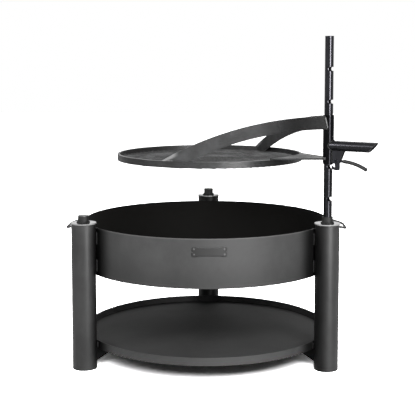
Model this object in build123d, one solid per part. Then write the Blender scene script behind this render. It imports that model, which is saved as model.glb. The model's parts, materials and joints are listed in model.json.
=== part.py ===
from build123d import *

import os
from math import asin, cos, degrees, radians, sin, sqrt

# A round fire pit. A drum bowl and a wood tray hang between three tube legs.
# One leg holds a notched post, and a grate on a swing arm slides on the post.
# Millimetres, +Z up, the legs stand on Z = 0 and the front faces -Y.

# Bowl
bowl_d = 800.0            # outside of the wall
bowl_h = 150.0            # height of the wall
bowl_z = 295.0            # ground to the wall's lower edge
bowl_sheet = 3.0          # wall sheet
floor_sheet = 3.0         # floor sheet
floor_up = 2.0            # wall's lower edge to the floor's rim
floor_dish = 12.0         # how far the floor dips at its centre
drain_d = 12.0            # hole at the floor's lowest point

# Tray, which has the bowl's diameter because the same legs hold it
tray_z = 62.0             # ground to the tray's underside
tray_h = 25.0             # height of its band
tray_band = 2.5           # band sheet
tray_sheet = 2.5          # floor sheet

# Legs, each touching the bowl's wall from outside
leg_d = 76.1
leg_wall = 2.9
leg_h = 460.0             # length of the tube
cap_t = 3.5               # disc that closes the tube's top
cap_lip = 2.0             # how far the disc stands proud of the tube
post_angle = -30.0        # leg that carries the post
back_angle = 90.0
left_angle = 210.0

# Carry handles on the wall
handle_rod = 8.0
handle_w = 120.0          # overall width
handle_out = 61.0         # how far they stand out from the wall
handle_down = 8.0         # bowl's rim to the bar's centre at the wall
handle_fall = 18.0        # drop from the wall to the outer bar
handle_bend = 18.0        # bend radius at the bar's centre

# Post and the sockets that take it
post_d = 26.9
post_wall = 2.6
post_h = 1040.0           # ground to the post's top
slip = 0.3                # radial gap between the post and what it turns or slides in
socket_wall = 3.1
socket_up = 20.0          # how far a socket stands out of its leg's disc
socket_l = 120.0
seat_t = 4.0              # disc at the socket's bottom
seat_gap = 0.2            # seat to the post's foot
plug_head = 3.0
plug_spigot = 14.0
plug_edge = 1.2           # rounding of the plug's head

# Notches in the post
notch_count = 5
notch_pitch = 100.0
notch_top = 100.0         # post's top to the first notch
notch_h = 12.0
notch_depth = 12.5
notch_rest = 3            # notch that the arm is shown in, counted from the top as 0

# Swing arm. Its heights are from the centre of the notch that the latch is in.
sleeve_wall = 3.1
sleeve_z = 9.0            # notch to the sleeve's lower end
sleeve_l = 150.0
arm_reach = 425.0         # post to the centre of the grate
ring_d = 606.0
ring_h = 20.0
ring_t = 8.0
ring_z = 2.0              # notch to the ring's lower edge
bar_d = 8.0
bar_pitch = 20.5
bar_below = 2.0           # how far the bars stand out below the ring
bar_gap = 0.1             # bar's end to the ring's inside, for the weld
strap_w = 40.0            # height of the flat bar
strap_t = 7.0
strap_angle = 34.5        # each strap's angle from the arm's centre line
strap_z = 116.0           # notch to the strap's lower edge at the sleeve
strap_past = 2.0          # grate's centre to where its lower edge comes down to the ring's top
strap_side = 13.0         # post's centre to the strap's inner face
strap_end_low = 5.0       # its end at the sleeve, at the lower and the upper edge
strap_end_top = 14.0
strap_setback = 2.0       # tip to the ring's outer face
tie_t = 5.0
tie_angle = 31.5          # each side's angle from the arm's centre line
tie_lap = 5.0             # how far the plate lies on the ring

# Grip and latch
grip_d = 32.0
grip_wall = 2.6
grip_z = 65.0             # notch to the grip's centre
grip_top = 163.0          # post's centre to the end of the grip's top
grip_low = 134.0          # and of its underside
pivot_x = 30.0            # latch pivot, from the post's centre and the notch
pivot_z = 20.0
pin_d = 6.0
pin_gap = 0.1             # radial gap between the pin and the pawl's hole
pin_head_d = 11.0
pin_head = 2.5
cheek_t = 3.0
cheek_reach = 54.0        # cheeks along the grip's underside
cheek_margin = 9.0        # cheek round the pivot
hub_d = 16.0
side_gap = 0.3            # pawl to each cheek
hook_t = 6.8              # thickness of the pawl's hook
hook_gap = 0.5            # hook to the notch's edges
hook_depth = 3.2          # how deep the hook sits in the post
hook_free = 0.3           # hook to the post as drawn, with the latch let go
lever_d = 8.0
lever_root = 14.5         # pivot to the lever's inner end
lever_fall = 2.0          # and how far below the pivot
lever_bend = 160.0        # radius of the lever
lever_l = 88.0

# Sizes that follow from the ones above
bowl_r = bowl_d / 2
bowl_in = bowl_r - bowl_sheet
rim_z = bowl_z + bowl_h
leg_r = leg_d / 2
leg_axis = bowl_r + leg_r
cap_z = leg_h + cap_t
post_r = post_d / 2
socket_in = post_r + slip
socket_r = socket_in + socket_wall
socket_top = cap_z + socket_up
socket_foot = socket_top - socket_l
post_foot = socket_foot + seat_t + seat_gap
sleeve_in = post_r + slip
sleeve_r = sleeve_in + sleeve_wall
notch_z = post_h - notch_top - notch_rest * notch_pitch
ring_r = ring_d / 2
ring_in = ring_r - ring_t
strap_land = arm_reach + strap_past
ring_top = ring_z + ring_h
bar_z = ring_z - bar_below + bar_d / 2
bar_top = bar_z + bar_d / 2
grip_r = grip_d / 2
fork = lever_d / 2 + side_gap          # half the gap between the cheeks
cheek_out = fork + cheek_t

# The hook is an arc about the pivot, so it turns in and out between the edges of the notch.
reach = pivot_x - post_r
hook_out = sqrt(reach**2 + (pivot_z + notch_h / 2) ** 2) - hook_gap
hook_in = hook_out - hook_t
tip_low = (-(reach + hook_depth), -sqrt(hook_out**2 - (reach + hook_depth) ** 2))
tip_top_z = pivot_z - notch_h / 2 + hook_gap
tip_top = (-sqrt(hook_in**2 - tip_top_z**2), -tip_top_z)
latch_open = max(
    degrees(asin(-tip_low[0] / hook_out) - asin((reach - hook_free) / hook_out)),
    degrees(asin(-tip_top[0] / hook_in) - asin((reach - hook_free) / hook_in)),
)

UP = (Align.CENTER, Align.CENTER, Align.MIN)


def rod(radius, z0, z1):
    """Upright cylinder from z0 to z1."""
    return Pos(0, 0, z0) * Cylinder(radius, z1 - z0, align=UP)


def tube(radius, bore, z0, z1):
    """Upright tube from z0 to z1."""
    return rod(radius, z0, z1) - rod(bore, z0, z1)


def side_plate(outline, thickness):
    """Plate drawn in X and Z, with its thickness centred on Y = 0."""
    return extrude(Plane.XZ * outline, thickness / 2, both=True)


def at_angle(radius, angle):
    """Place on a circle about the bowl, turned to face outwards."""
    return Rot(0, 0, angle) * Pos(radius, 0, 0)


def bowl_floor():
    """Pressed sheet that dips to the drain hole."""
    rim = bowl_z + floor_up
    crown = (bowl_in**2 + floor_dish**2) / (2 * floor_dish)

    def low(radius):
        return rim - floor_dish + crown - sqrt(crown**2 - radius**2)

    r0, r2 = drain_d / 2, bowl_in
    r1 = (r0 + r2) / 2
    under = ThreePointArc((r0, low(r0)), (r1, low(r1)), (r2, low(r2)))
    over = Pos(0, floor_sheet) * under
    sides = [Line(under @ 0, over @ 0), Line(under @ 1, over @ 1)]
    return revolve(Plane.XZ * make_face([under, over] + sides), Axis.Z)


def carry_handle():
    """Round bar bent to a U, coped to the wall."""
    half = (handle_w - handle_rod) / 2
    wall_z = rim_z - handle_down
    out = bowl_r + handle_out - handle_rod / 2
    inside = sqrt(bowl_r**2 - half**2) - handle_rod
    slope = handle_fall / (out - inside)
    start_z = wall_z + handle_rod * slope
    path = FilletPolyline(
        (inside, -half, start_z),
        (out, -half, wall_z - handle_fall),
        (out, half, wall_z - handle_fall),
        (inside, half, start_z),
        radius=handle_bend,
    )
    bar = sweep(Plane(path @ 0, z_dir=path % 0) * Circle(handle_rod / 2), path)
    return bar - rod(bowl_r, bowl_z, rim_z + handle_rod)


def notched_post():
    """Tube with round-bottomed notches cut from the side that faces outwards."""
    post = tube(post_r, post_r - post_wall, post_foot, post_h)
    bottom = post_r - notch_depth + notch_h / 2
    for i in range(notch_count):
        z = post_h - notch_top - i * notch_pitch
        notch = Pos(bottom, z) * Circle(notch_h / 2)
        notch += Pos(bottom + post_r / 2, z) * Rectangle(post_r, notch_h)
        post -= side_plate(notch, 2 * post_d)
    return post


def socket_plug():
    """Cap for a socket that is not in use."""
    head = rod(socket_r, socket_top, socket_top + plug_head)
    head = fillet(head.edges().sort_by(Axis.Z)[-1], plug_edge)
    return head + rod(socket_in - slip, socket_top - plug_spigot, socket_top)


def strap(side):
    """Arched flat bar from the sleeve's side to the ring; side is -1 or 1."""
    drop = strap_z - ring_top
    arch = (strap_land**2 + drop**2) / (2 * drop)
    centre = strap_z - arch
    far = arm_reach + ring_r
    blank = Pos(0, centre) * (Circle(arch + strap_w) - Circle(arch))
    top_z = strap_z + strap_w
    lean = (strap_end_top - strap_end_low) / strap_w
    blank &= Polygon(
        (strap_end_low - lean * strap_w, strap_z - strap_w),
        (far, bar_top - strap_w),
        (far, top_z + strap_w),
        (strap_end_top + lean * strap_w, top_z + strap_w),
        align=None,
    )
    bar = Pos(0, strap_side + strap_t / 2, 0) * side_plate(blank, strap_t)
    bar = Rot(0, 0, 180 - strap_angle) * (mirror(bar, Plane.XZ))
    if side < 0:
        bar = mirror(bar, Plane.XZ)
    # Seated on the bars, against the ring and over its edge, and coped to the sleeve.
    ring_place = Pos(-arm_reach, 0, 0)
    low = min(bar_top, ring_top) - strap_w
    bar &= ring_place * rod(ring_r - strap_setback, low, top_z + strap_w) + Pos(0, 0, low) * Box(
        2 * arm_reach, 2 * ring_d, top_z + strap_w - low, align=UP
    )
    bar -= ring_place * rod(ring_d, low, bar_top)
    bar -= ring_place * tube(ring_d, ring_in, low, ring_top)
    return bar - rod(sleeve_r, 0, top_z + strap_w)


def tie_plate():
    """Flat plate from the sleeve to the ring, with sides that run out from the sleeve."""
    run = arm_reach
    wide = (sleeve_r + run * sin(radians(tie_angle))) / cos(radians(tie_angle))
    root = sleeve_r / cos(radians(tie_angle))
    fan = Polygon((0, -root), (0, root), (-run, wide), (-run, -wide), align=None)
    fan -= Pos(-arm_reach, 0) * Circle(ring_in + tie_lap)
    fan -= Circle(sleeve_r)
    fan = fan.faces().sort_by(Axis.X)[-1]
    return Pos(0, 0, ring_top) * extrude(fan, tie_t)


def grate_bars():
    """Bars along the arm, butted to the inside of the ring."""
    count = int((ring_in - bar_d) / bar_pitch)
    bars = [
        Pos(0, i * bar_pitch, bar_z) * Rot(0, 90, 0) * Cylinder(bar_d / 2, ring_d)
        for i in range(-count, count + 1)
    ]
    inside = rod(ring_in - bar_gap, bar_z - bar_d, bar_z + bar_d)
    return [Pos(-arm_reach, 0, 0) * (bar & inside) for bar in bars]


def grip():
    """Tube coped to the sleeve, with a slanted end that is longest on top."""
    low, high = grip_z - grip_r, grip_z + grip_r
    pipe = Pos(0, 0, grip_z) * Rot(0, 90, 0) * tube(grip_r, grip_r - grip_wall, 0, grip_top)
    off = Polygon((grip_low, low), (grip_top, high), (2 * grip_top, high), (2 * grip_top, low), align=None)
    return pipe - side_plate(off, 2 * grip_d) - rod(sleeve_r, low, high)


def latch_cheeks():
    """Two plates below the grip that carry the pin."""
    foot = pivot_z - cheek_margin
    nose = pivot_x + cheek_margin * 1.5
    outline = Polygon(
        (0, foot),
        (pivot_x, foot),
        (pivot_x + cheek_margin * 0.75, foot + cheek_margin * 0.25),
        (nose, pivot_z + cheek_margin / 3),
        (cheek_reach, grip_z - grip_r),
        (cheek_reach, grip_z),
        (0, grip_z),
        align=None,
    )
    outline -= Pos(pivot_x, pivot_z) * Circle(pin_d / 2)
    shift = fork + cheek_t / 2
    under = Pos(0, 0, grip_z) * Rot(0, 90, 0) * rod(grip_r, 0, grip_top)
    pair = []
    for side in (-1, 1):
        plate = Pos(0, side * shift, 0) * side_plate(outline, cheek_t)
        pair.append(plate - rod(sleeve_r, 0, grip_z + grip_r) - under)
    return pair


def latch_pin():
    """Pin through the cheeks and the pawl, headed at both ends."""
    shank = Cylinder(pin_d / 2, 2 * cheek_out)
    head = Cylinder(pin_head_d / 2, pin_head)
    pin = shank
    for side in (-1, 1):
        cap = Pos(0, 0, side * (cheek_out + pin_head / 2)) * head
        outer = cap.edges().sort_by(Axis.Z)[0 if side < 0 else -1]
        pin += fillet(outer, pin_head * 0.6)
    return Pos(pivot_x, 0, pivot_z) * Rot(90, 0, 0) * pin


def latch_pawl():
    """Crank with the hook that enters the notches, drawn with the hook just clear of the post."""
    hub = Circle(hub_d / 2)
    half = hub_d / 2
    limb = Polygon((-half, 0), (-half * 1.1, -hook_out), (half * 0.4, -hook_out), (half, 0), align=None)
    limb &= Circle(hook_out)
    hook = Circle(hook_out) - Circle(hook_in)
    lean = (tip_top[0] - tip_low[0]) / (tip_top[1] - tip_low[1])
    up, down = half, 2 * hook_out
    hook &= Polygon(
        (tip_top[0] + lean * up, tip_top[1] + up),
        (tip_low[0] - lean * down, tip_low[1] - down),
        (0, tip_low[1] - down),
        (0, tip_top[1] + up),
        align=None,
    )
    crank = Rot(0, 0, latch_open) * (hub + limb + hook)
    crank += Pos(lever_root / 2, -lever_fall) * Rectangle(lever_root, lever_d)
    crank -= Circle(pin_d / 2 + pin_gap)
    return Pos(pivot_x, 0, pivot_z) * side_plate(crank, lever_d)


def latch_lever():
    """Bent rod that the hand squeezes towards the grip."""
    start = (pivot_x + lever_root, 0, pivot_z - lever_fall)
    arc = JernArc(start=(0, 0), tangent=(1, 0), radius=lever_bend, arc_size=-degrees(lever_l / lever_bend))
    path = Pos(*start) * (Plane.XZ * arc)
    bar = sweep(Plane(path @ 0, z_dir=path % 0) * Circle(lever_d / 2), path)
    tip = bar.faces().sort_by(Axis.X)[-1]
    return fillet(tip.edges(), lever_d * 0.4)


# Everything fixed to the ground
nodes = {
    "bowl_wall": tube(bowl_r, bowl_in, bowl_z, rim_z),
    "bowl_floor": bowl_floor(),
    "tray_rim": tube(bowl_r, bowl_r - tray_band, tray_z, tray_z + tray_h),
    "tray_floor": rod(bowl_r - tray_band, tray_z, tray_z + tray_sheet),
    "handle_left": Rot(0, 0, 180) * carry_handle(),
    "handle_right": carry_handle(),
}
for name, angle in (("post", post_angle), ("back", back_angle), ("left", left_angle)):
    place = at_angle(leg_axis, angle)
    nodes["leg_" + name] = place * tube(leg_r, leg_r - leg_wall, 0, leg_h)
    nodes["leg_cap_" + name] = place * tube(leg_r + cap_lip, socket_r, leg_h, cap_z)
    nodes["socket_" + name] = place * tube(socket_r, socket_in, socket_foot, socket_top)
    nodes["socket_seat_" + name] = place * rod(socket_in, socket_foot, socket_foot + seat_t)
    if name != "post":
        nodes["socket_plug_" + name] = place * socket_plug()

# The post and what slides on it
post_place = at_angle(leg_axis, post_angle)
nodes["post"] = post_place * notched_post()
arm_place = post_place * Pos(0, 0, notch_z)
arm = {
    "sleeve": tube(sleeve_r, sleeve_in, sleeve_z, sleeve_z + sleeve_l),
    "strap_front": strap(-1),
    "strap_back": strap(1),
    "tie_plate": tie_plate(),
    "grate_ring": Pos(-arm_reach, 0, 0) * tube(ring_r, ring_in, ring_z, ring_top),
    "grate_bars": grate_bars(),
    "grip": grip(),
    "latch_cheeks": latch_cheeks(),
    "latch_pin": latch_pin(),
    "latch_pawl": latch_pawl(),
    "latch_lever": latch_lever(),
}
for name, shape in arm.items():
    pieces = shape if isinstance(shape, list) else [shape]
    nodes[name] = [arm_place * piece for piece in pieces]

# The origin is on the ground below the middle of the whole.
nodes = {name: shape if isinstance(shape, list) else [shape] for name, shape in nodes.items()}
boxes = [piece.bounding_box() for pieces in nodes.values() for piece in pieces]
middle_x = (min(b.min.X for b in boxes) + max(b.max.X for b in boxes)) / 2
middle_y = (min(b.min.Y for b in boxes) + max(b.max.Y for b in boxes)) / 2
to_origin = Pos(-middle_x, -middle_y, 0)

os.makedirs("parts", exist_ok=True)
for name, pieces in nodes.items():
    nodes[name] = Compound(children=[(to_origin * piece).solid() for piece in pieces])
    export_step(nodes[name], f"parts/{name}.step")
print(f"{len(nodes)} nodes, origin at X {middle_x:.2f}, Y {middle_y:.2f} from the bowl's axis")
print(f"latch opens {latch_open:.2f} degrees from the notch")
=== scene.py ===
import json
from math import acos, atan2, cos, hypot, pi, radians, sin, sqrt

import bmesh
import bpy
from mathutils import Matrix, Vector


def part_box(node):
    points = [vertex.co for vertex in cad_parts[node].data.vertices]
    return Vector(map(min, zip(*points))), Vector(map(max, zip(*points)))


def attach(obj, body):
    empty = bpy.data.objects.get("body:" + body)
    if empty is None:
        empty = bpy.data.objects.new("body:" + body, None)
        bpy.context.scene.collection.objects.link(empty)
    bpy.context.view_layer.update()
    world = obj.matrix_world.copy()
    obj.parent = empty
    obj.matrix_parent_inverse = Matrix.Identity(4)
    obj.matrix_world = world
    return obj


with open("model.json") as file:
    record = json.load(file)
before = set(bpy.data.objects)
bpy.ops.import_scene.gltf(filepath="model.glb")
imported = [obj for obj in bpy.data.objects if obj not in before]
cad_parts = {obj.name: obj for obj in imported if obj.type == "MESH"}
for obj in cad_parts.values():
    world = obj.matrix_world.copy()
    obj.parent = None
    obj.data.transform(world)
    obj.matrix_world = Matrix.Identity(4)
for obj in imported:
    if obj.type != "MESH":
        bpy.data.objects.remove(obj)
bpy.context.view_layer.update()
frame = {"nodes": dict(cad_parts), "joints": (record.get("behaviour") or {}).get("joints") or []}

scene = bpy.context.scene
scene.view_settings.view_transform = "Standard"

# Sizes of the solids that this script's pieces lie against, in metres
ring_up = 0.002           # notch to the grate ring's lower edge
ring_wall = 0.008
bar_r = 0.004             # bars of the grate
bar_pitch = 0.0205
grip_r = 0.016
handle_r = 0.004          # rod of the carry handles
strap_side = 0.020        # post's centre to a strap's outer face
strap_angle = radians(34.5)
strap_ends = ((0.0055, 0.1185), (0.0137, 0.1545))   # lower and upper corner of its bead, out and up
arch_r = 1.0568           # upper edge of the straps' arch
arch_drop = 0.9008        # notch down to the arch's centre
lever_root = 0.0145       # pivot to the lever's inner end
lever_fall = 0.002        # and how far below the pivot
lever_bend = 0.160
lever_l = 0.088

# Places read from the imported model, in metres
leg_names = ("post", "back", "left")
bowl_low, bowl_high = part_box("bowl_wall")
tray_low, tray_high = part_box("tray_rim")
ring_low, ring_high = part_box("grate_ring")
sleeve_low, sleeve_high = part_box("sleeve")
bowl_axis = (bowl_low + bowl_high) / 2
grate_axis = (ring_low + ring_high) / 2
bowl_r = (bowl_high.x - bowl_low.x) / 2
ring_r = (ring_high.x - ring_low.x) / 2
sleeve_r = (sleeve_high.x - sleeve_low.x) / 2
leg_boxes = [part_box("leg_" + leg) for leg in leg_names]
leg_axes = [((low.x + high.x) / 2, (low.y + high.y) / 2) for low, high in leg_boxes]
leg_r = (leg_boxes[0][1].x - leg_boxes[0][0].x) / 2
hinges = {joint["name"]: joint for joint in frame["joints"]}
post_axis = Vector(hinges["swing"]["pos_m"])
inwards = Vector((grate_axis.x - post_axis.x, grate_axis.y - post_axis.y, 0)).normalized()
arm_turn = atan2(-inwards.y, -inwards.x)
arm_reach = (Vector((grate_axis.x, grate_axis.y)) - Vector((post_axis.x, post_axis.y))).length
notch_z = ring_low.z - ring_up
pivot = Vector(hinges["latch_lever"]["pos_m"])
pivot_out = hypot(pivot.x - post_axis.x, pivot.y - post_axis.y)
pivot_up = pivot.z - notch_z
bar_end_r = ring_r - ring_wall


# Finishes

class Value:
    """A number that varies over a surface and takes plain arithmetic."""

    def __init__(self, finish, socket):
        self.finish = finish
        self.socket = socket

    def __add__(self, other):
        return self.finish.sum("ADD", self, other)

    def __sub__(self, other):
        return self.finish.sum("SUBTRACT", self, other)

    def __rsub__(self, other):
        return self.finish.sum("SUBTRACT", other, self)

    def __mul__(self, other):
        return self.finish.sum("MULTIPLY", self, other)

    __radd__ = __add__
    __rmul__ = __mul__


class Finish:
    """One material: its nodes are added one at a time and wired as they come."""

    def __init__(self, name):
        self.material = bpy.data.materials.new(name)
        self.material.use_nodes = True
        self.nodes = self.material.node_tree.nodes
        self.links = self.material.node_tree.links
        self.shader = self.nodes["Principled BSDF"]
        self.place = self.add("TexCoord", out="Object")

    def add(self, kind, settings=None, sockets=None, out=0):
        """A node of any kind, with its settings made before its sockets are wired."""
        node = self.nodes.new("ShaderNode" + kind)
        for name, setting in (settings or {}).items():
            setattr(node, name, setting)
        self.wire(node, sockets or {})
        return Value(self, node.outputs[out])

    def wire(self, node, sockets):
        """Links a node's sockets to values, or sets them to constants."""
        for name, value in sockets.items():
            if isinstance(value, Value):
                self.links.new(value.socket, node.inputs[name])
            else:
                node.inputs[name].default_value = value

    def sum(self, operation, first, second=0.0):
        """Plain maths on one or two values."""
        return self.add("Math", {"operation": operation}, {0: first, 1: second})

    def noise(self, scale, detail=3, rough=0.5, place=None):
        """Cloudy pattern; scale is in blobs per metre."""
        sockets = {
            "Vector": place or self.place, "Scale": scale, "Detail": detail, "Roughness": rough}
        return self.add("TexNoise", {"noise_dimensions": "3D"}, sockets)

    def part(self, vector, axis):
        """One coordinate of a place."""
        return self.add("SeparateXYZ", None, {0: vector}, out=axis)

    def level(self, vector):
        """A place brought down to the ground."""
        return self.add("VectorMath", {"operation": "MULTIPLY"}, {0: vector, 1: (1, 1, 0)})

    def distance(self, vector, spot):
        """How far a place is from a spot."""
        return self.add("VectorMath", {"operation": "DISTANCE"}, {0: vector, 1: spot}, out="Value")

    def scaled(self, scale, location=(0, 0, 0)):
        """The pattern's place, drawn out or moved."""
        sockets = {"Vector": self.place, "Location": location, "Scale": scale}
        return self.add("Mapping", {"vector_type": "POINT"}, sockets)

    def mask(self, value, low, high):
        """0 below low, 1 above high, smooth between."""
        sockets = {0: value, 1: low, 2: high}
        return self.add("MapRange", {"interpolation_type": "SMOOTHSTEP"}, sockets)

    def blend(self, amount, first, second):
        """Colour between two colours."""
        return self.add("Mix", {"data_type": "RGBA"}, {0: amount, 6: first, 7: second}, out=2)

    def bump(self, height, strength, depth):
        """Surface relief; depth is in metres."""
        return self.add("Bump", None, {"Height": height, "Strength": strength, "Distance": depth})

    def surface(self, **sockets):
        """Values and constants for the shader's sockets."""
        names = {name.replace("_", " "): value for name, value in sockets.items()}
        self.wire(self.shader, names)


def grey(shade, blue=0.0):
    """Grey, colder with more blue and warmer below 0."""
    return (shade, shade * (1 + blue / 3), shade * (1 + blue), 1)


def stove_paint(name, roughness, shade, inner_shade=0.0):
    """Satin black stove paint, soft and cloudy, with painted shade inside the bowl and beside the
    legs.

    The last argument paints shade on the side of a leg that faces the bowl, more to the right of
    the bowl.
    """
    paint = Finish(name)
    centred = paint.scaled((1, 1, 1), location=(-bowl_axis.x, -bowl_axis.y, 0))
    height = paint.part(centred, "Z")
    across = paint.part(centred, "X")
    flat = paint.level(centred)
    radius = paint.add("VectorMath", {"operation": "LENGTH"}, {0: flat}, out="Value")
    bowl = paint.mask(height, bowl_low.z - 0.015, bowl_low.z - 0.005)
    # Painted shade: inside the bowl the paint goes near black
    inside = (1 - paint.mask(radius, bowl_r - 0.0022, bowl_r - 0.0012)) * bowl
    shell = 1 - paint.mask(radius, bowl_r + 0.0005, bowl_r + 0.0010)
    # Painted shade: the underside of the tray is painted near black
    below = (1 - paint.mask(height, tray_low.z + 0.0002, tray_low.z + 0.0008)) * shell
    outer_wall = shell * (1 - inside)
    # Painted shade: the outer wall darkens towards its lower edge
    foot = (1 - paint.mask(height, bowl_low.z + 0.015, bowl_low.z + 0.095)) * bowl * outer_wall
    nearest = 1.0
    for x, y in leg_axes:
        spot = (x - bowl_axis.x, y - bowl_axis.y, 0)
        apart = paint.distance(flat, spot)
        nearest = paint.sum("MINIMUM", apart, nearest)
    # Painted shade: the outer wall goes near black close to each leg, in the gap between them
    joint = (1 - paint.mask(nearest, leg_r + 0.014, leg_r + 0.080)) * outer_wall * (1 - inner_shade)
    # Painted shade: on a leg, the side that faces the bowl goes near black, more so to the right of
    # the bowl
    inner_side_shade = inner_shade * (1 - paint.mask(radius - 0.045 * across, bowl_r + 0.022, bowl_r + 0.052))
    # Painted highlight: a lighter line along the outer top edge of the rim
    edge = paint.mask(height, bowl_high.z - 0.0035, bowl_high.z - 0.0020) * shell
    cloud = paint.noise(7, 4, 0.55)
    drift = paint.noise(34, 3, 0.6)
    speck = paint.noise(420, 2, 0.5)
    peel = paint.noise(950, 2, 0.5)
    tone = paint.mask(cloud * 0.7 + drift * 0.3, 0.36, 0.64)
    outer = paint.blend(tone, grey(shade * 0.85), grey(shade * 1.15))
    # painted shade low on the outer wall
    outer = paint.blend(0.42 * foot, outer, grey(shade * 0.15))
    # painted highlight along the rim
    outer = paint.blend(0.55 * edge, outer, grey(shade * 2.6))
    # painted shade in the gap between the wall and each leg
    base = paint.blend(0.9 * joint, outer, grey(0.003))
    # painted shade on the side of a leg that faces the bowl
    base = paint.blend(inner_side_shade, base, grey(0.004))
    # painted shade inside the bowl
    base = paint.blend(inside, base, grey(0.0045, -0.15))
    # painted shade under the tray
    base = paint.blend(below, base, grey(0.005))
    rough = roughness + 0.07 * tone + 0.05 * speck
    inside_rough = 0.82
    rough = rough + inside * (inside_rough - rough)
    grain = paint.bump(peel + 0.4 * speck, 0.22, 0.0004)
    # Metallic rises with the painted shade inside the bowl, by the legs and on the legs' inner
    # sides, so these places reflect little too
    paint.surface(
        Base_Color=base, Roughness=rough, Specular_IOR_Level=0.22, Normal=grain,
        Metallic=0.75 * inside + 0.8 * joint + 0.6 * inner_side_shade)
    return paint


def mill_steel(name, dark, light, roughness, gloss, post_shade, soft=0.11, toe_highlight=0.0):
    """Hot rolled steel: dark scale with rubbed, lighter patches, and painted shade near the post.

    soft spreads the patches' edges, and the last argument paints a highlight on a strap's toe.
    """
    steel = Finish(name)
    cloud = steel.noise(13, 6, 0.62)
    patch = steel.mask(cloud, 0.55 - soft, 0.55 + soft)
    rub = steel.mask(steel.noise(60, 4, 0.6, steel.scaled((1, 1, 6))), 0.40, 0.75)
    fine = steel.noise(520, 3, 0.6)
    reach = steel.distance(steel.level(steel.place), (post_axis.x, post_axis.y, 0))
    # Painted shade: within about 0.36 m of the post the steel goes near black
    near = post_shade * (1 - steel.mask(reach, 0.09, 0.36))
    height = steel.part(steel.place, "Z") - (notch_z - arch_drop)
    depth = arch_r - steel.sum("SQRT", reach * reach + height * height)
    # Painted highlight: a lighter patch on a strap's toe, near the top of its arch
    ground = toe_highlight * (1 - steel.mask(depth, 0.004, 0.012)) * steel.mask(reach, 0.460, 0.482)
    base = steel.blend(patch, grey(dark), grey(light, 0.04))
    base = steel.blend(0.4 * rub, base, grey(light * 0.75, 0.03))
    # painted shade near the post
    base = steel.blend(near, base, grey(0.004))
    # painted highlight on a strap's toe
    base = steel.blend(ground, base, grey(0.16))
    rough = roughness - 0.12 * patch + 0.10 * fine - 0.05 * rub
    near_post_rough = 0.24
    rough = rough + near * (near_post_rough - rough)
    dents = steel.bump((fine + 0.8 * rub) * (1 - 0.8 * near), 0.35, 0.0006)
    # Metallic rises with the painted shade near the post, so that it reflects little
    shine = (0.04 + 0.20 * patch) * (1 - near) + 0.8 * near
    steel.surface(
        Base_Color=base, Roughness=rough, Metallic=shine, Specular_IOR_Level=gloss, Normal=dents)
    return steel


def black_steel(name, gloss, roughness, light):
    """Smooth black tube with a narrow gloss and faint drawing lines along it."""
    steel = Finish(name)
    lines = steel.noise(600, 2, 0.5, steel.scaled((1, 1, 0.05)))
    cloud = steel.noise(24, 4, 0.6)
    speck = steel.noise(700, 2, 0.5)
    base = steel.blend(steel.mask(cloud, 0.35, 0.7), grey(light * 0.4, 0.15), grey(light, 0.2))
    rough = roughness + 0.06 * cloud + 0.03 * speck
    fine = steel.bump(lines + 0.5 * speck, 0.12, 0.0002)
    steel.surface(
        Base_Color=base, Roughness=rough, Specular_IOR_Level=gloss,
        Specular_Tint=(0.91, 0.89, 1.0, 1), Normal=fine, Metallic=0.0)
    return steel


def soft_plastic(name, roughness, gloss, shade):
    """Black plastic with a fine matt grain."""
    plastic = Finish(name)
    grain = plastic.noise(1400, 2, 0.5)
    cloud = plastic.noise(90, 2, 0.5)
    plastic.surface(
        Base_Color=plastic.blend(cloud, grey(shade * 0.8), grey(shade * 1.2)),
        Roughness=roughness + 0.12 * grain,
        Normal=plastic.bump(grain, 0.25, 0.0002),
        Specular_IOR_Level=gloss,
        Metallic=0.0,
    )
    return plastic


def weld_steel(name, shade, roughness=0.32):
    """Steel of a weld or a rivet: small scales with soot between them."""
    weld = Finish(name)
    soot = weld.noise(260, 3, 0.6)
    scale = weld.noise(900, 2, 0.5)
    weld.surface(
        Base_Color=weld.blend(weld.mask(soot, 0.35, 0.65), grey(shade * 0.6), grey(shade * 1.3)),
        Specular_IOR_Level=0.15,
        Roughness=roughness + 0.2 * soot,
        Normal=weld.bump(scale, 0.3, 0.0003),
        Metallic=0.2,
    )
    return weld


def disc_finish():
    """Paint of the disc on a leg: glossy on top, dull along its rim, which is painted light as a
    highlight.
    """
    lid_shade, lid_rough = 0.040, 0.08
    # Painted highlight: the rim is painted light grey in place of the light that its rounded edge
    # catches
    rim_highlight_shade, rim_rough = 0.22, 0.60
    disc = stove_paint("disc_black_paint", lid_rough, lid_shade, inner_shade=0.01)
    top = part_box("leg_cap_left")[1].z
    lid = disc.mask(disc.part(disc.place, "Z"), top - 0.0003, top - 0.0001)
    disc.surface(
        Base_Color=disc.blend(lid, grey(rim_highlight_shade), grey(lid_shade)),
        Roughness=rim_rough - (rim_rough - lid_rough) * lid,
        Coat_Weight=0.85 * lid, Coat_Roughness=0.05)
    return disc


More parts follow.
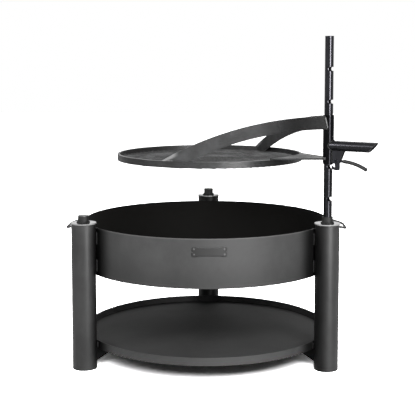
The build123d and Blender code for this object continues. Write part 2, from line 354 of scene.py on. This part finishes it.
wall_paint = stove_paint("satin_black_paint", 0.56, 0.032)
leg_paint = stove_paint("leg_black_paint", 0.33, 0.027, inner_shade=0.85)
socket_paint = stove_paint("socket_black_paint", 0.55, 0.003, inner_shade=0.01)
disc_paint = disc_finish()
plate_paint = stove_paint("plate_black_paint", 0.46, 0.012)
tray_paint = stove_paint("tray_black_paint", 0.72, 0.032)
tray_paint.surface(Specular_IOR_Level=0.09)
strap_steel = mill_steel("strap_steel", 0.017, 0.043, 0.50, 0.09, 1.0, soft=0.20, toe_highlight=0.9)
ring_steel = mill_steel("ring_steel", 0.012, 0.034, 0.36, 0.20, 0.5)
bar_steel = mill_steel("bar_steel", 0.020, 0.060, 0.46, 0.10, 0.9)
tie_steel = mill_steel("tie_steel", 0.010, 0.024, 0.44, 0.05, 0.0, soft=0.20)
tube = black_steel("post_black_steel", 0.185, 0.11, 0.008)
grip_steel = black_steel("grip_black_steel", 0.18, 0.20, 0.008)
sleeve_steel = black_steel("sleeve_black_steel", 0.085, 0.11, 0.002)
cheek_steel = black_steel("cheek_black_steel", 0.12, 0.48, 0.012)
plastic = soft_plastic("moulded_black_plastic", 0.24, 0.5, 0.028)
dip = soft_plastic("dipped_black_plastic", 0.42, 0.20, 0.008)
painted_weld = weld_steel("painted_weld", 0.006, 0.55)
bare_weld = weld_steel("bare_weld", 0.09)
dull_weld = weld_steel("dull_weld", 0.020)
rivet_steel = weld_steel("rivet_steel", 0.075)

finish_of_node = {
    "strap_front": strap_steel, "strap_back": strap_steel, "tie_plate": tie_steel,
    "grate_ring": ring_steel, "grate_bars": bar_steel,
    "post": tube, "grip": grip_steel, "sleeve": sleeve_steel, "latch_cheeks": cheek_steel,
    "latch_pin": tube, "latch_pawl": cheek_steel, "latch_lever": tube,
    "socket_plug_back": plastic, "socket_plug_left": plastic, "tray_floor": tray_paint,
}
finish_of_kind = {"leg_cap_": disc_paint, "leg_": leg_paint, "socket_": socket_paint}
for name, node in frame["nodes"].items():
    kinds = [finish for start, finish in finish_of_kind.items() if name.startswith(start)]
    finish = finish_of_node.get(name, (kinds + [wall_paint])[0])
    for slot in node.material_slots:
        slot.material = finish.material


# Pieces

def make_piece(name, mesh_maker, finish, body, smooth=True):
    """One object from a bmesh, riding on its body."""
    bmesh.ops.recalc_face_normals(mesh_maker, faces=mesh_maker.faces[:])
    mesh = bpy.data.meshes.new(name)
    mesh_maker.to_mesh(mesh)
    mesh_maker.free()
    mesh.materials.append(finish.material)
    for face in mesh.polygons:
        face.use_smooth = smooth
    piece = bpy.data.objects.new(name, mesh)
    scene.collection.objects.link(piece)
    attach(piece, body)
    return piece


def edges_of(ring):
    """Edges that meet a ring of vertices."""
    return list({edge for v in ring for edge in v.link_edges})


def new_corners(made):
    """Vertices that an extrusion made."""
    return [v for v in made["geom"] if isinstance(v, bmesh.types.BMVert)]


def bead(maker, path, radius, closed=False, around=8, lobe=2, dip=0.20):
    """Weld bead: rings set along the path and bridged, lobe rings to each scale of the weld.

    dip is how far the weld narrows between its scales.
    """
    rings = []
    count = len(path)
    for i, point in enumerate(path):
        before = path[i - 1] if i or closed else point
        after = path[(i + 1) % count] if i < count - 1 or closed else point
        turn = (after - before).to_track_quat("Z", "Y").to_matrix().to_4x4()
        swell = radius * (1 - dip * (0.5 + 0.5 * cos(2 * pi * i / lobe)))
        if not closed and i in (0, count - 1):
            swell = radius * 0.45
        spot = Matrix.Translation(point) @ turn
        made = bmesh.ops.create_circle(
            maker, cap_ends=False, radius=swell, segments=around, matrix=spot)
        rings.append(made["verts"])
    ends = [edges_of(ring) for ring in rings]
    for i in range(count if closed else count - 1):
        bmesh.ops.bridge_loops(maker, edges=ends[i] + ends[(i + 1) % count])
    if not closed:
        for ring in (ends[0], ends[-1]):
            bmesh.ops.holes_fill(maker, edges=ring, sides=around)


def line(start, end, step=0.002):
    """Points from start to end."""
    count = max(3, int((end - start).length / step))
    return [start.lerp(end, i / count) for i in range(count + 1)]


def circle(centre, radius, step=0.002, start=0.0, sweep=2 * pi, count=0):
    """Points round a level circle, or part of one."""
    full = abs(sweep - 2 * pi) < 1e-6
    count = count or 2 * max(3, int(radius * sweep / step / 2))
    turns = [start + sweep * i / count for i in range(count if full else count + 1)]
    return [centre + Vector((radius * cos(turn), radius * sin(turn), 0)) for turn in turns]


def ground_point(place, z=0.0):
    """A place's X and Y at a height of its own."""
    return Vector((place.x, place.y, z))


def in_arm(x, y, z):
    """Point from the arm's own directions: x out along the grip, z from the notch."""
    return Vector((
        post_axis.x + x * cos(arm_turn) - y * sin(arm_turn),
        post_axis.y + x * sin(arm_turn) + y * cos(arm_turn),
        notch_z + z,
    ))


def leg_beads():
    """Beads round each stub's foot and disc, and where the bowl and the tray meet the legs."""
    stub_bead, disc_bead, wall_bead = 0.0042, 0.0013, 0.003
    stub_out, stub_up, disc_out = 0.0004, 0.0010, 0.0002
    lobe, lobes = 6, 9
    run = 0.040                           # length of a bead on the wall
    clear, tray_clear = 0.012, 0.003      # and its distance from the bowl's and the tray's edges
    spans = (
        (bowl_high.z - clear - run, bowl_high.z - clear),
        (bowl_low.z + clear, bowl_low.z + clear + run),
        (tray_low.z + tray_clear, tray_high.z - tray_clear),
    )
    beads = bmesh.new()
    for leg, (leg_low, leg_high) in zip(leg_names, leg_boxes):
        low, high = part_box("socket_" + leg)
        centre = (low + high) / 2
        socket_r = (high.x - low.x) / 2
        tube_r = (leg_high.x - leg_low.x) / 2
        stub_foot = ground_point(centre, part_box("leg_cap_" + leg)[1].z + stub_up)
        stub_rim = circle(stub_foot, socket_r + stub_out, count=lobe * lobes)
        bead(beads, stub_rim, stub_bead, True, lobe=lobe, dip=0.5)
        disc_rim = circle(ground_point(centre, leg_high.z), tube_r + disc_out, 0.004)
        bead(beads, disc_rim, disc_bead, True, around=6)
        out = Vector((centre.x - bowl_axis.x, centre.y - bowl_axis.y, 0))
        near, far = bowl_r + wall_bead, tube_r + wall_bead
        gap = acos((near**2 + out.length**2 - far**2) / (2 * near * out.length))
        heading = atan2(out.y, out.x)
        for turn in (heading - gap, heading + gap):
            x = bowl_axis.x + near * cos(turn)
            y = bowl_axis.y + near * sin(turn)
            for bottom, upper in spans:
                ends = Vector((x, y, bottom)), Vector((x, y, upper))
                bead(beads, line(*ends, step=0.003), wall_bead)
    make_piece("leg_welds", beads, painted_weld, "frame")


def floor_beads():
    """Seams between the walls and the floors of the bowl and the tray."""
    beads = bmesh.new()
    seams = ((bowl_low.z + 0.0055, 0.0040, 0.0022), (tray_low.z + 0.0030, 0.0034, 0.0018))
    for z, inset, radius in seams:
        seam = circle(ground_point(bowl_axis, z), bowl_r - inset, 0.005)
        bead(beads, seam, radius, True, around=6)
    make_piece("floor_seams", beads, painted_weld, "frame")


def handle_beads():
    """Beads round the ends of the carry handles."""
    beads = bmesh.new()
    size, step, proud, droop = 0.0016, 0.0026, 0.0006, 0.0004
    for node in ("handle_left", "handle_right"):
        low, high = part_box(node)
        side = 1 if (low.x + high.x) / 2 > bowl_axis.x else -1
        lean = Matrix.Rotation(side * pi / 2, 4, "Y")
        for y in (low.y + handle_r, high.y - handle_r):
            x = bowl_axis.x + side * sqrt(bowl_r**2 - (y - bowl_axis.y) ** 2)
            spot = Matrix.Translation((x + side * proud, y, high.z - handle_r - droop))
            loop = circle(Vector((0, 0, 0)), handle_r + proud, step)
            bead(beads, [spot @ lean @ point for point in loop], size, True, around=6)
    make_piece("handle_welds", beads, painted_weld, "frame")


def grip_beads():
    """Beads where the grip saddles the sleeve, and beside the latch's cheeks."""
    beads = bmesh.new()
    saddle_bead, proud, count = 0.0022, 0.0008, 44
    cheek_bead, cheek_proud = 0.0020, 0.0010
    cheek_out, cheek_bottom, cheek_top = 0.0083, 0.013, 0.046
    grip_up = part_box("grip")[1].z - grip_r - notch_z
    saddle = []
    for i in range(count):
        turn = 2 * pi * i / count
        y = (grip_r + proud) * sin(turn)
        x = sqrt((sleeve_r + proud) ** 2 - y * y)
        saddle.append(in_arm(x, y, grip_up + (grip_r + proud) * cos(turn)))
    bead(beads, saddle, saddle_bead, True)
    for y in (-cheek_out, cheek_out):
        x = sqrt((sleeve_r + cheek_proud) ** 2 - y * y)
        bead(beads, line(in_arm(x, y, cheek_bottom), in_arm(x, y, cheek_top), 0.003), cheek_bead)
    make_piece("grip_welds", beads, painted_weld, "arm")


def sleeve_beads():
    """Beads of the tie plate and the two straps on the sleeve."""
    beads = bmesh.new()
    plate_bead, plate_lift, proud = 0.0022, 0.0006, 0.0010
    strap_bead, strap_sink = 0.0026, 0.0016
    plate_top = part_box("tie_plate")[1].z - notch_z
    sweep = radians(170)
    start = arm_turn + pi - sweep / 2
    middle = in_arm(0, 0, plate_top + plate_lift)
    bead(beads, circle(middle, sleeve_r + proud, 0.003, start, sweep), plate_bead)
    for side in (-1, 1):
        turn = side * (pi - strap_angle)
        along = Vector((cos(turn), sin(turn)))
        across = Vector((side * along.y, -side * along.x))
        corners = []
        for out, up in strap_ends:
            spot = along * out + across * (strap_side - strap_sink)
            corners.append(in_arm(spot.x, spot.y, up))
        bead(beads, line(*corners, step=0.003), strap_bead)
    make_piece("sleeve_welds", beads, bare_weld, "arm")


def grate_beads():
    """Small blobs at the bars' ends, and the bead under the tie plate."""
    beads = bmesh.new()
    blob_r, blob_flat, blob_up, blob_in = 0.0046, 0.7, 0.0025, 0.0006
    plate_bead, plate_lift, proud = 0.0020, 0.0002, 0.0004
    last_bar = 0.008    # least distance from the ring to the outermost bar
    count = int((bar_end_r - last_bar) / bar_pitch)
    bar_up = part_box("grate_bars")[0].z + bar_r - notch_z
    for i in range(-count, count + 1):
        y = i * bar_pitch
        for end in (-1, 1):
            x = -arm_reach + end * (sqrt(bar_end_r**2 - y * y) - blob_in)
            blob = Matrix.Translation(in_arm(x, y, bar_up + blob_up))
            blob = blob @ Matrix.Diagonal((1.0, 1.0, blob_flat, 1.0))
            bmesh.ops.create_icosphere(beads, subdivisions=2, radius=blob_r, matrix=blob)
    plate_foot = ground_point(grate_axis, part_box("tie_plate")[0].z + plate_lift)
    sweep = radians(42)
    arc = circle(plate_foot, ring_r + proud, 0.0035, arm_turn - sweep / 2, sweep)
    bead(beads, arc, plate_bead)
    make_piece("grate_welds", beads, dull_weld, "arm")


def strap_foot_beads():
    """Short beads where the straps' toes stand on the ring."""
    beads = bmesh.new()
    size, length, proud, inset = 0.0022, 0.016, 0.0004, 0.004
    middle = in_arm(-arm_reach, 0, 0)
    for side in (-1, 1):
        turn = arm_turn + side * (pi - strap_angle)
        along = Vector((cos(turn), sin(turn), 0))
        across = Vector((side * along.y, -side * along.x, 0))
        root = ground_point(post_axis) + across * (strap_side + proud)
        back = root - ground_point(middle)
        half = back.dot(along)
        toe = -half + sqrt(half**2 - back.length_squared + (ring_r - inset) ** 2)
        top = Vector((0, 0, ring_high.z + proud))
        ends = [root + along * (toe - run) + top for run in (0.0, length)]
        bead(beads, line(*ends, step=0.002), size)
    make_piece("strap_foot_welds", beads, bare_weld, "arm")


def lever_dip():
    """Soft black coat, dipped over the outer part of the latch lever and rounded at its tip."""
    coat = bmesh.new()
    coat_r, coat_from, around = 0.0058, 0.004, 20
    coat_sweep = lever_l / lever_bend - 0.028
    rounding = coat_r * 0.75
    out = in_arm(1, 0, 0) - in_arm(0, 0, 0)
    lever_up = pivot_up - lever_fall
    start = in_arm(pivot_out + lever_root + coat_from, 0, lever_up - coat_from**2 / lever_bend / 2)
    centre = in_arm(pivot_out + lever_root, 0, lever_up - lever_bend)
    spot = Matrix.Translation(start) @ out.to_track_quat("Z", "Y").to_matrix().to_4x4()
    ring = bmesh.ops.create_circle(
        coat, cap_ends=False, radius=coat_r, segments=around, matrix=spot)
    bmesh.ops.spin(
        coat, geom=edges_of(ring["verts"]), cent=centre, axis=Vector((0, 0, 1)).cross(out),
        angle=coat_sweep, steps=30)
    rims = [edge for edge in coat.edges if edge.is_boundary]
    bmesh.ops.holes_fill(coat, edges=rims, sides=around)
    caps = [edge for edge in coat.edges if any(len(face.verts) > 4 for face in edge.link_faces)]
    bmesh.ops.bevel(
        coat, geom=caps, offset=rounding, affect="EDGES", segments=5, profile=0.5, material=-1)
    make_piece("lever_dip", coat, dip, "latch")


def tray_gussets():
    """Plates that carry the tray from the legs, welded below it; near black, they also stand for
    the shade between tray and legs.
    """
    gussets = bmesh.new()
    thick, foot, run, toe = 0.005, 0.016, 0.085, 0.004
    sink, rounding = 0.001, 0.0006
    for x, y in leg_axes:
        out = Vector((x - bowl_axis.x, y - bowl_axis.y, 0))
        heading = out.normalized()
        beside = Vector((-heading.y, heading.x, 0))
        outer = out.length - leg_r + sink
        inner = outer - run
        side = ((outer, foot), (outer, tray_low.z), (inner, tray_low.z), (inner, tray_low.z - toe))
        start = ground_point(bowl_axis) - beside * thick / 2
        corners = [gussets.verts.new(start + heading * r + Vector((0, 0, z))) for r, z in side]
        face = gussets.faces.new(corners)
        plate = bmesh.ops.extrude_face_region(gussets, geom=[face])
        bmesh.ops.translate(gussets, verts=new_corners(plate), vec=beside * thick)
    bmesh.ops.bevel(
        gussets, geom=gussets.edges[:], offset=rounding, affect="EDGES", segments=2, profile=0.5,
        material=-1)
    make_piece("tray_gussets", gussets, socket_paint, "frame", smooth=False)


def name_plate():
    """Bare cast plate with bone-shaped ends, riveted to the wall's front."""
    plate = bmesh.new()
    half, high, thick = 0.0525, 0.015, 0.0016
    rim, slope, sunk = 0.0007, 0.0005, 0.0006    # of the field inside the plate's outline
    corner_r, small_r, cut_gap = 0.0055, 0.0012, 0.004
    right = [(0.030, 0.0122), (0.040, high), (half, high), (half, 0.0030), (0.0485, 0.0),
             (half, -0.0030), (half, -high), (0.040, -high), (0.030, -0.0122)]
    outline = right + [(-x, -y) for x, y in right]
    corners = [plate.verts.new((x, y, 0)) for x, y in outline]
    plate.faces.new(corners)
    rounded = {"affect": "VERTICES", "profile": 0.5, "material": -1}
    sharp = [v for v in corners if abs(v.co.x) > half - 1e-6 and abs(v.co.y) > 0.01]
    bmesh.ops.bevel(plate, geom=sharp, offset=corner_r, segments=5, **rounded)
    rest = [v for v in plate.verts if 0.029 < abs(v.co.x) < 0.0411 or abs(v.co.y) < 0.0035]
    bmesh.ops.bevel(plate, geom=rest, offset=small_r, segments=3, **rounded)
    front = bmesh.ops.extrude_face_region(plate, geom=plate.faces[:])
    bmesh.ops.translate(plate, verts=new_corners(front), vec=(0, 0, thick))

    def front_faces():
        return [face for face in plate.faces if face.calc_center_median().z > thick - 1e-6]

    bmesh.ops.inset_region(
        plate, faces=front_faces(), thickness=rim, depth=0.0, use_even_offset=True)
    field = max(front_faces(), key=lambda face: face.calc_area())
    bmesh.ops.inset_region(
        plate, faces=[field], thickness=slope, depth=-sunk, use_even_offset=True)
    for i in range(-12, 13):    # cuts across the plate, so that it can bend to the wall
        everything = plate.verts[:] + plate.edges[:] + plate.faces[:]
        bmesh.ops.bisect_plane(
            plate, geom=everything, plane_co=(i * cut_gap, 0, 0), plane_no=(1, 0, 0))

    rivets = bmesh.new()
    rivet_x, rivet_y, rivet_r, rivet_flat = 0.0450, 0.0078, 0.0033, 0.62
    for x in (-rivet_x, rivet_x):
        for y in (-rivet_y, rivet_y):
            spot = Matrix.Translation((x, y, thick - sunk)) @ Matrix.Diagonal((1, 1, rivet_flat, 1))
            bmesh.ops.create_uvsphere(
                rivets, u_segments=20, v_segments=12, radius=rivet_r, matrix=spot)

    middle_x, middle_z = 0.0155, bowl_low.z + 0.111
    for maker in (plate, rivets):
        for v in maker.verts:
            turn = (v.co.x + middle_x) / bowl_r
            r = bowl_r + v.co.z
            v.co = (bowl_axis.x + r * sin(turn), bowl_axis.y - r * cos(turn), middle_z + v.co.y)
    piece = make_piece("name_plate", plate, plate_paint, "frame", smooth=False)
    for face in piece.data.polygons:
        face.use_smooth = len(face.vertices) < 5 and face.area < 4e-6
    make_piece("name_plate_rivets", rivets, rivet_steel, "frame")


leg_beads()
floor_beads()
handle_beads()
grip_beads()
sleeve_beads()
grate_beads()
strap_foot_beads()
lever_dip()
tray_gussets()
name_plate()


# Room: floor, light and camera

def white_floor():
    """Plain floor that keeps the shadow and looks white to the camera."""
    lit_shade, seen_shade = 0.75, 3.60
    ground = bmesh.new()
    bmesh.ops.create_grid(ground, x_segments=1, y_segments=1, size=14)
    mesh = bpy.data.meshes.new("floor")
    ground.to_mesh(mesh)
    ground.free()
    cover = Finish("floor_white")
    ray = cover.add("LightPath", out="Is Camera Ray")
    colour = cover.blend(ray, grey(lit_shade), grey(seen_shade))
    matt = cover.add("BsdfDiffuse", None, {"Color": colour}, out="BSDF")
    cover.links.new(matt.socket, cover.nodes["Material Output"].inputs["Surface"])
    mesh.materials.append(cover.material)
    floor = bpy.data.objects.new("floor", mesh)
    scene.collection.objects.link(floor)


def white_room():
    """White surroundings to the camera and in reflections, softer as light."""
    world = bpy.data.worlds.new("studio")
    scene.world = world
    world.use_nodes = True
    nodes, links = world.node_tree.nodes, world.node_tree.links
    path = nodes.new("ShaderNodeLightPath")
    either = nodes.new("ShaderNodeMath")
    either.operation = "MAXIMUM"
    links.new(path.outputs["Is Camera Ray"], either.inputs[0])
    links.new(path.outputs["Is Transmission Ray"], either.inputs[1])
    seen = nodes.new("ShaderNodeMath")
    seen.operation = "MAXIMUM"
    links.new(either.outputs[0], seen.inputs[0])
    links.new(path.outputs["Is Glossy Ray"], seen.inputs[1])
    place = nodes.new("ShaderNodeTexCoord")
    height = nodes.new("ShaderNodeSeparateXYZ")
    links.new(place.outputs["Generated"], height.inputs[0])
    clear = nodes.new("ShaderNodeMapRange")
    links.new(height.outputs["Z"], clear.inputs[0])
    dome = nodes.new("ShaderNodeMath")
    dome.operation = "MULTIPLY"
    links.new(clear.outputs[0], dome.inputs[0])
    links.new(clear.outputs[0], dome.inputs[1])
    level = nodes.new("ShaderNodeMix")
    links.new(seen.outputs[0], level.inputs[0])
    links.new(dome.outputs[0], level.inputs[2])
    level.inputs[3].default_value = 1.0
    back = nodes["Background"]
    back.inputs["Color"].default_value = (1, 1, 1, 1)
    links.new(level.outputs[0], back.inputs["Strength"])


def soft_box(name, turn, rise, distance, width, height, power, lights=True):
    """Soft box aimed at the bowl's rim; turn is in degrees to the right of the front.

    One with lights off shows only as a gloss.
    """
    turn, rise = radians(turn), radians(rise)
    away = Vector((sin(turn) * cos(rise), -cos(turn) * cos(rise), sin(rise)))
    lamp = bpy.data.lights.new(name, "AREA")
    lamp.shape = "RECTANGLE"
    lamp.size, lamp.size_y = width, height
    lamp.energy = power
    holder = bpy.data.objects.new(name, lamp)
    holder.location = ground_point(bowl_axis, 0.45) + away * distance
    holder.rotation_euler = away.to_track_quat("Z", "Y").to_euler()
    holder.visible_diffuse = lights
    scene.collection.objects.link(holder)


white_floor()
white_room()
soft_box("key_box", 24, 30, 3.6, 1.6, 1.3, 100)
soft_box("front_box", -6, 27, 3.8, 2.4, 1.3, 120)
soft_box("shine_strip", 30, 9, 2.6, 0.52, 1.7, 83, lights=False)
soft_box("shine_top", 30, 16.2, 2.6, 0.52, 1.05, 79, lights=False)
soft_box("side_strip", -57, 27, 3.0, 0.8, 0.8, 125, lights=False)
soft_box("back_box", 170, 36, 4.0, 2.6, 1.3, 50)

lens = bpy.data.cameras.new("photo_view")
lens.sensor_width = 36
lens.lens = 89.026
lens.shift_y = -0.1205
camera = bpy.data.objects.new("photo_view", lens)
camera.location = (bowl_axis.x + 0.06016, bowl_axis.y - 3.37201, 0.98044)
camera.rotation_euler = (pi / 2 - 0.0990, 0, 0.01676)
scene.collection.objects.link(camera)
scene.camera = camera
